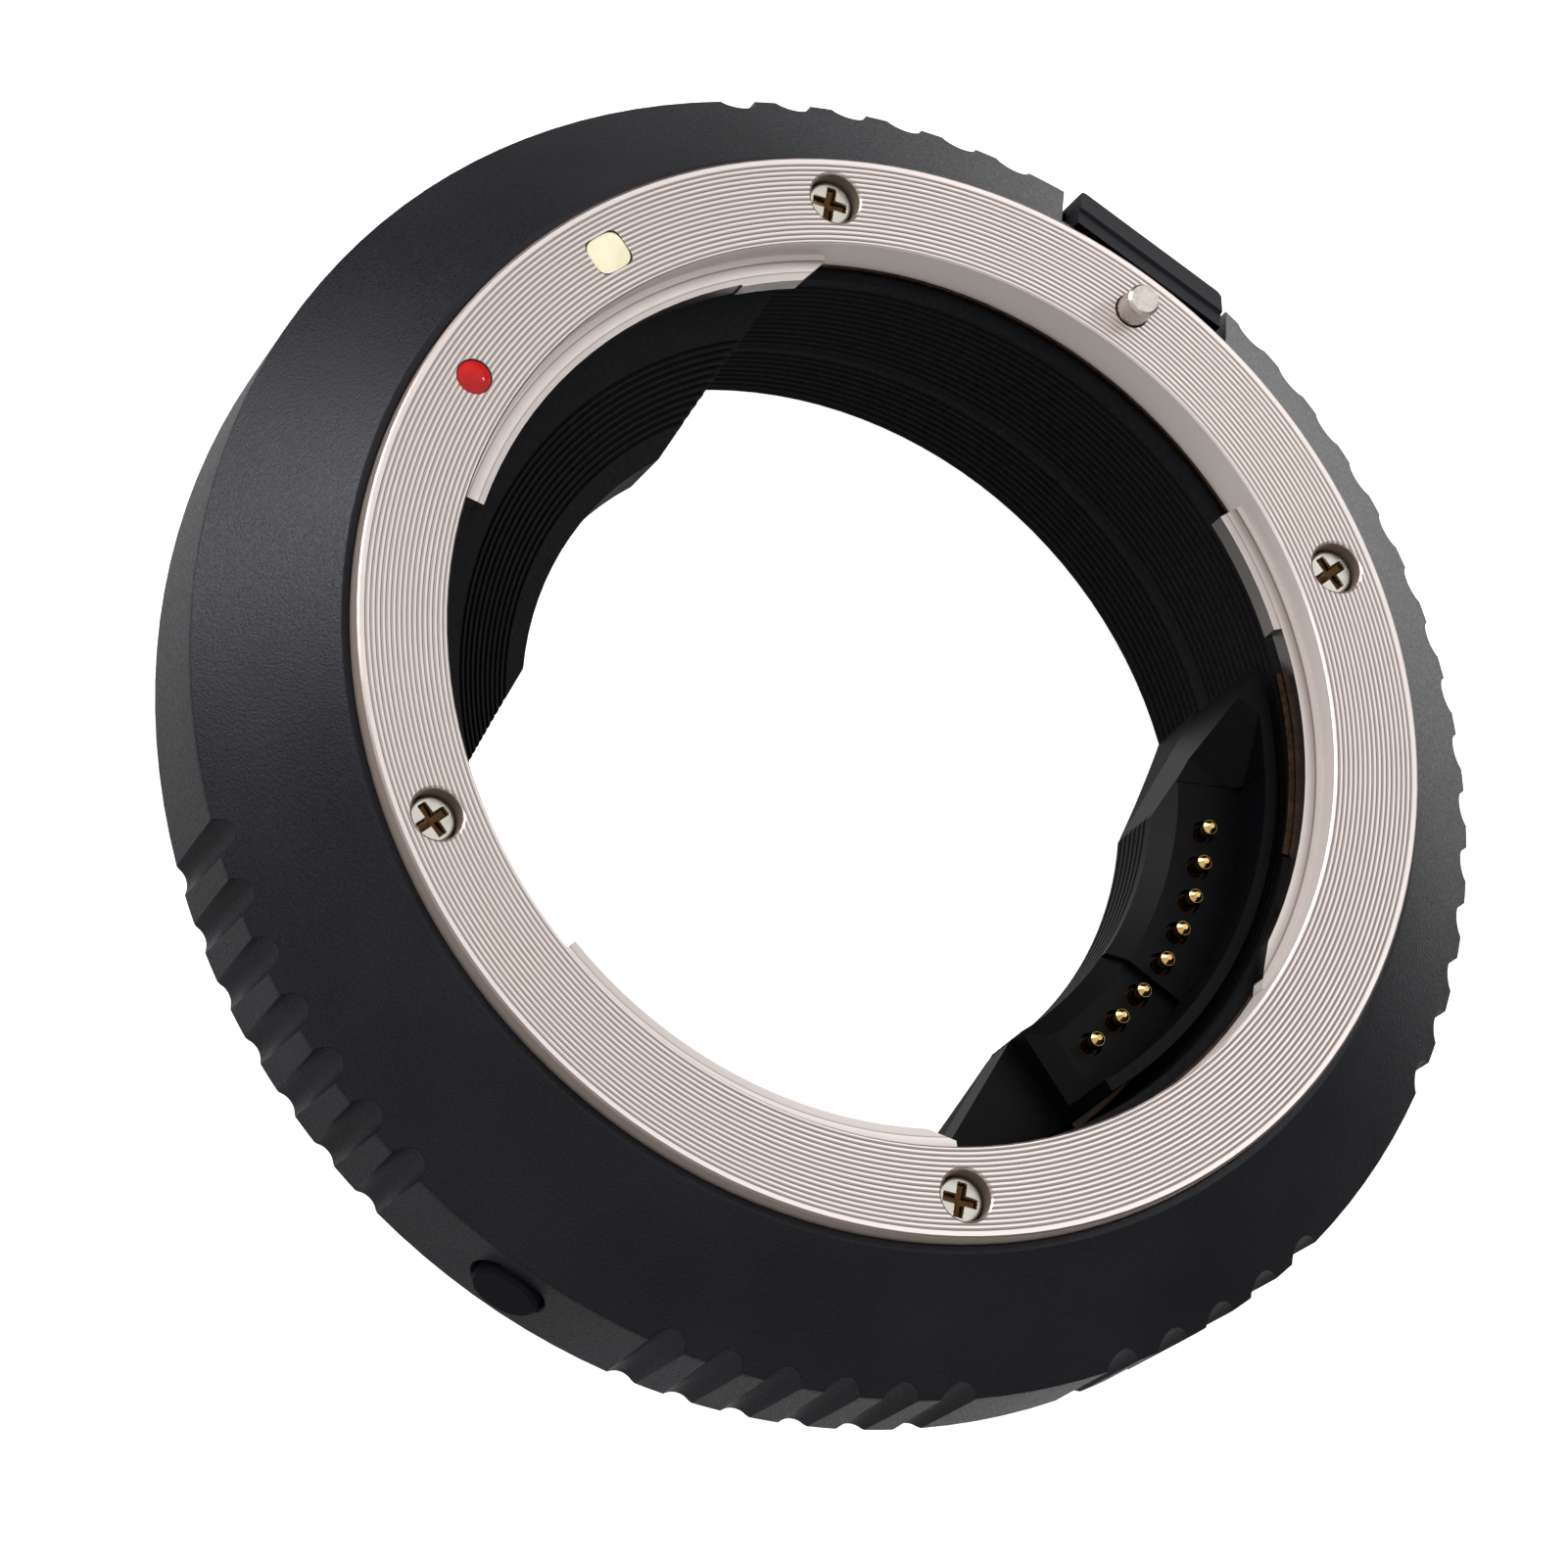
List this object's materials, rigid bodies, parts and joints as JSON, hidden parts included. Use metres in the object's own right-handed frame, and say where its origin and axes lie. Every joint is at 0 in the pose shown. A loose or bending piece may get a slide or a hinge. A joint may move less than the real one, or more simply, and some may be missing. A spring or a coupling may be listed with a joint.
{
  "type": "lens mount adapter",
  "caption": "Metal adapter ring that lets a bayonet lens sit on a medium format camera body, with a lens release button and sprung contacts.",
  "frame": {"origin": "centre of the camera side flange plane, on the optical axis", "axes": "+Z along the optical axis towards the lens, +Y towards the red index dot, +X towards the lens release button"},
  "size_m": [0.0797, 0.079, 0.024],
  "materials": {
    "black_anodised": "bead-blasted black anodise, fine matte grain",
    "ring_nickel": "turned and nickel plated, fine concentric rings",
    "spring_bronze": "rolled bronze strip, dull",
    "screw_steel": "nickel plated, satin",
    "red_enamel": "gloss enamel drop",
    "ivory_enamel": "satin enamel fill",
    "pin_steel": "turned and polished",
    "inner_steel": "zinc plated, satin",
    "spring_wire": "drawn wire, satin",
    "button_black": "smooth matte black",
    "side_button_black": "smooth moulded, matte",
    "switch_grey": "moulded, matte",
    "switch_black": "moulded, matte",
    "block_black": "moulded, matte",
    "barrel_brass": "turned, plated",
    "pin_gold": "gold plated, polished tip",
    "pad_gold": "gold plated, flat",
    "baffle_black": "ribbed, dead matte",
    "rear_chrome": "turned and chrome plated, satin",
    "gasket_rubber": "moulded rubber, dull",
    "board_green": "solder mask, satin",
    "chip_black": "moulded package, matte",
    "flex_amber": "polyimide film, satin"
  },
  "bodies": {
    "adapter": {"body_shell": "black_anodised", "lens_mount_ring": "ring_nickel", "bayonet_leaf_spring": "spring_bronze", "lens_mount_screws": "screw_steel", "red_index_dot": "red_enamel", "ivory_index_mark": "ivory_enamel", "lock_spring": "spring_wire", "lever_guide_pin": "inner_steel", "side_switch": "switch_black", "lens_contact_block": "block_black", "contact_barrels": "barrel_brass", "contact_block_screws": "inner_steel", "front_baffle": "baffle_black", "front_baffle_screws": "inner_steel", "rear_baffle": "baffle_black", "board_screws": "inner_steel", "camera_mount_ring": "rear_chrome", "camera_mount_screws": "screw_steel", "camera_contact_block": "block_black", "camera_contact_pads": "pad_gold", "camera_block_screws": "screw_steel", "camera_index_dot": "red_enamel", "rear_gasket": "gasket_rubber", "main_board": "board_green", "control_chip": "chip_black", "flex_cable": "flex_amber"},
    "release": {"release_button": "button_black", "lock_lever": "inner_steel", "lock_pin": "pin_steel", "release_button_screws": "inner_steel"},
    "side_button": {"side_button": "side_button_black", "switch_plunger": "switch_grey"},
    "contact_1": {"contact_pin_1": "pin_gold"},
    "contact_2": {"contact_pin_2": "pin_gold"},
    "contact_3": {"contact_pin_3": "pin_gold"},
    "contact_4": {"contact_pin_4": "pin_gold"},
    "contact_5": {"contact_pin_5": "pin_gold"},
    "contact_6": {"contact_pin_6": "pin_gold"},
    "contact_7": {"contact_pin_7": "pin_gold"},
    "contact_8": {"contact_pin_8": "pin_gold"}
  },
  "joints": [
    {"name": "release_slide", "type": "slide", "parent": "adapter", "child": "release", "axis": [0, 0, -1], "range_m": [0, 0.0019], "stiffness_N_per_m": 900, "springref_m": -0.002, "deforming": ["lock_spring"]},
    {"name": "side_button_press", "type": "slide", "parent": "adapter", "child": "side_button", "axis": [0.9998, 0.0175, 0], "range_m": [0, 0.0005], "stiffness_N_per_m": 2000, "springref_m": -0.0005},
    {"name": "contact_1_press", "type": "slide", "parent": "adapter", "child": "contact_1", "axis": [0, 0, -1], "range_m": [0, 0.0009], "stiffness_N_per_m": 500, "springref_m": -0.0005},
    {"name": "contact_2_press", "type": "slide", "parent": "adapter", "child": "contact_2", "axis": [0, 0, -1], "range_m": [0, 0.0009], "stiffness_N_per_m": 500, "springref_m": -0.0005},
    {"name": "contact_3_press", "type": "slide", "parent": "adapter", "child": "contact_3", "axis": [0, 0, -1], "range_m": [0, 0.0009], "stiffness_N_per_m": 500, "springref_m": -0.0005},
    {"name": "contact_4_press", "type": "slide", "parent": "adapter", "child": "contact_4", "axis": [0, 0, -1], "range_m": [0, 0.0009], "stiffness_N_per_m": 500, "springref_m": -0.0005},
    {"name": "contact_5_press", "type": "slide", "parent": "adapter", "child": "contact_5", "axis": [0, 0, -1], "range_m": [0, 0.0009], "stiffness_N_per_m": 500, "springref_m": -0.0005},
    {"name": "contact_6_press", "type": "slide", "parent": "adapter", "child": "contact_6", "axis": [0, 0, -1], "range_m": [0, 0.0009], "stiffness_N_per_m": 500, "springref_m": -0.0005},
    {"name": "contact_7_press", "type": "slide", "parent": "adapter", "child": "contact_7", "axis": [0, 0, -1], "range_m": [0, 0.0009], "stiffness_N_per_m": 500, "springref_m": -0.0005},
    {"name": "contact_8_press", "type": "slide", "parent": "adapter", "child": "contact_8", "axis": [0, 0, -1], "range_m": [0, 0.0009], "stiffness_N_per_m": 500, "springref_m": -0.0005}
  ]
}
